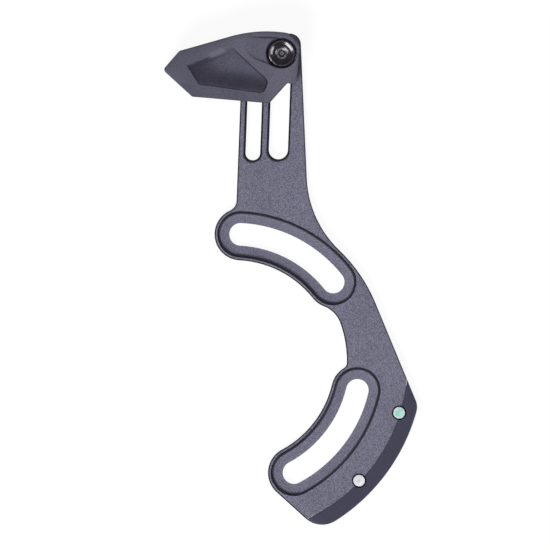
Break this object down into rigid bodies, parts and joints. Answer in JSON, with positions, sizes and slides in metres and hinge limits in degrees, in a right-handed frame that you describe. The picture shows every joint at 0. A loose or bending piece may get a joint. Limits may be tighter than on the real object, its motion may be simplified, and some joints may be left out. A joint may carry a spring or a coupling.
{
  "type": "bicycle chain guide",
  "caption": "Bicycle chain guide with a curved slotted backplate, a height-adjustable moulded upper guide on a straight arm, and a lower bumper.",
  "frame": {"origin": "bottom bracket axis in the plane of the back mounting face", "axes": "+X towards the front of the bicycle, +Y up the arm, +Z outboard, away from the frame"},
  "size_m": [0.0726, 0.1417, 0.0245],
  "materials": {
    "blasted_anodised_plate": "bead-blasted dark grey anodised",
    "moulded_guide": "satin moulded",
    "black_bolt": "black oxide",
    "dark_nut": "dark plated",
    "moulded_bumper": "smooth satin",
    "zinc_screw": "zinc plated"
  },
  "bodies": {
    "plate": {"backplate": "blasted_anodised_plate", "lower_bumper": "moulded_bumper", "bumper_screw_upper": "zinc_screw", "bumper_screw_lower": "zinc_screw"},
    "guide": {"upper_guide": "moulded_guide", "guide_bolt": "black_bolt", "guide_nut": "dark_nut"}
  },
  "joints": [
    {"name": "guide_height", "type": "slide", "parent": "plate", "child": "guide", "axis": [-0.0358, -0.9994, 0], "range_m": [0, 0.024]}
  ]
}
